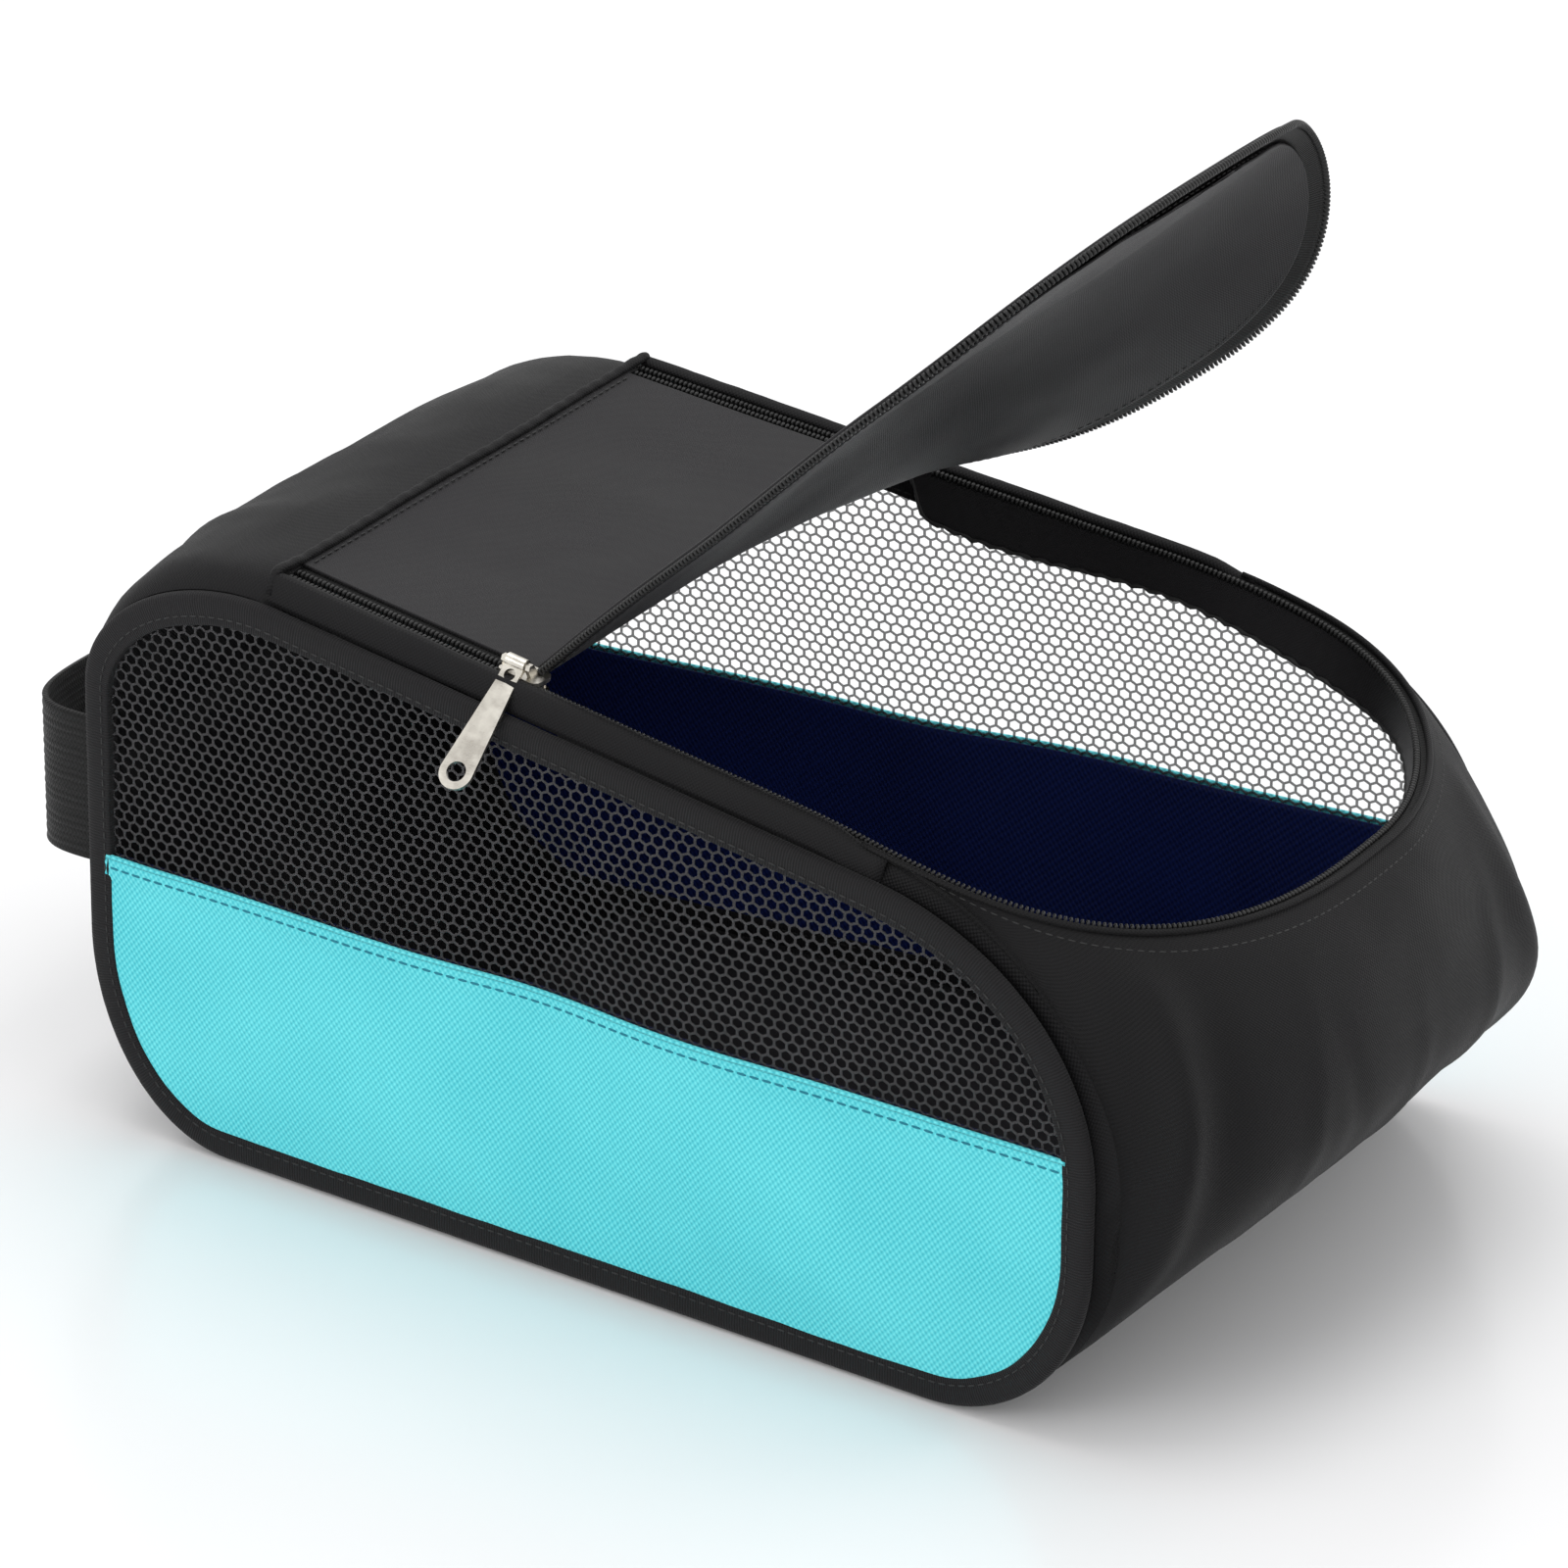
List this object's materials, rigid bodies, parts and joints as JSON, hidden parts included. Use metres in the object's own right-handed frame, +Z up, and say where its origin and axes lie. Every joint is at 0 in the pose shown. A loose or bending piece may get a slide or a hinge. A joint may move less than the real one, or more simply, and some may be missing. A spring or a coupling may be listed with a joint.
{
  "type": "golf shoe bag",
  "caption": "Wedge-shaped soft shoe bag with mesh sides, a coloured lower side panel, a lid that unzips round the toe and folds back, and a webbing handle on the heel",
  "frame": {"origin": "middle of the flat base, on the surface that the bag stands on", "axes": "+X to the toe end, +Y to the bag's left, +Z up"},
  "size_m": [0.4249, 0.2574, 0.3301],
  "materials": {
    "body_cloth": "plain-woven black nylon with a slight sheen",
    "top_cloth": "fine smooth charcoal nylon",
    "side_cloth": "coarse bright cyan basket-weave polyester",
    "side_backing": "dark navy woven lining",
    "mesh": "open black polyester mesh with rounded holes",
    "binding": "folded black knitted binding",
    "zip_tape": "black herringbone zip tape",
    "zip_coil": "black nylon coil",
    "zip_metal": "warm nickel plating, lightly worn",
    "webbing": "ribbed black webbing",
    "board": "black stiffening board"
  },
  "bodies": {
    "root": {"bottom_panel": "body_cloth", "base_board": "board", "heel_panel": "body_cloth", "toe_panel": "body_cloth", "right_top_strip": "body_cloth", "left_top_strip": "body_cloth", "rear_top_panel": "top_cloth", "rear_seam_piping": "binding", "right_mesh_panel": "mesh", "left_mesh_panel": "mesh", "right_side_cloth": "side_cloth", "left_side_cloth": "side_cloth", "right_side_backing": "side_backing", "left_side_backing": "side_backing", "right_edge_binding": "binding", "left_edge_binding": "binding", "handle_strap": "webbing", "body_zip_tape": "zip_tape", "body_zip_coil": "zip_coil", "rear_zip_tapes": "zip_tape", "rear_zip_coils": "zip_coil", "toe_facing": "binding"},
    "lid": {"lid_panel": "top_cloth", "lid_lining": "top_cloth", "lid_zip_tape": "zip_tape", "lid_zip_coil": "zip_coil"},
    "right_slider": {"right_slider_body": "zip_metal"},
    "left_slider": {"left_slider_body": "zip_metal"},
    "right_pull": {"right_pull_tab": "zip_metal"},
    "left_pull": {"left_pull_tab": "zip_metal"}
  },
  "joints": [
    {"name": "lid_fold", "type": "hinge", "parent": "root", "child": "lid", "pos_m": [-0.023, 0, 0.17825], "axis": [0, -1, 0], "range_deg": [-53, 66]},
    {"name": "right_slider_travel", "type": "slide", "parent": "root", "child": "right_slider", "axis": [0.9888, -0.0593, -0.1371], "range_m": [-0.07, 0]},
    {"name": "left_slider_travel", "type": "slide", "parent": "root", "child": "left_slider", "axis": [0.9888, 0.0593, -0.1371], "range_m": [-0.07, 0]},
    {"name": "right_pull_swing", "type": "hinge", "parent": "right_slider", "child": "right_pull", "pos_m": [-0.02441, -0.101, 0.1839], "axis": [-0.9888, 0.0593, 0.1371], "range_deg": [0, 124]},
    {"name": "left_pull_swing", "type": "hinge", "parent": "left_slider", "child": "left_pull", "pos_m": [-0.02441, 0.101, 0.1839], "axis": [0.9888, 0.0593, -0.1371], "range_deg": [0, 124]}
  ]
}
